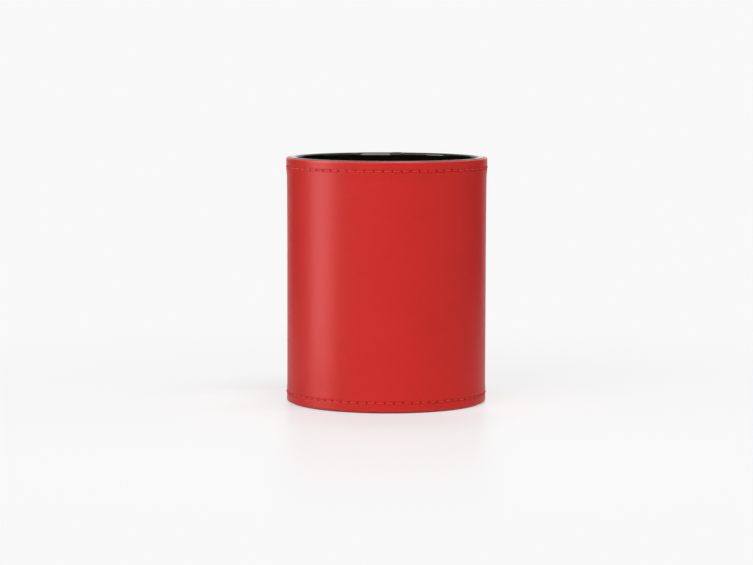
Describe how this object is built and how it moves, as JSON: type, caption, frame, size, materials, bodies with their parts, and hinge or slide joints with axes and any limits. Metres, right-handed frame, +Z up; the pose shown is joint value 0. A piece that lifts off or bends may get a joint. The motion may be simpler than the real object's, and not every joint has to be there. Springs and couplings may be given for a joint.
{
  "type": "pen cup",
  "caption": "Round stitched leather pen cup with a glossy black lining and a felt base, open at the top.",
  "frame": {"origin": "centre of the flat underside, on the surface that the cup stands on", "axes": "+Z up along the axis of the cup, +Y towards the sewn seam at the back"},
  "size_m": [0.082, 0.0824, 0.1002],
  "materials": {
    "greyboard": "uncoated grey board",
    "red_leather": "smooth satin leather with a fine grain",
    "red_thread": "twisted sewing thread",
    "black_lining": "high gloss coated sheet",
    "black_felt": "dense pressed felt"
  },
  "bodies": {
    "root": {"core_tube": "greyboard", "base_board": "greyboard", "floor_card": "greyboard", "leather_wrap": "red_leather", "wall_lining": "black_lining", "floor_lining": "black_lining", "underside_pad": "black_felt", "top_seam_thread": "red_thread", "bottom_seam_thread": "red_thread", "back_seam_thread": "red_thread"}
  },
  "joints": []
}
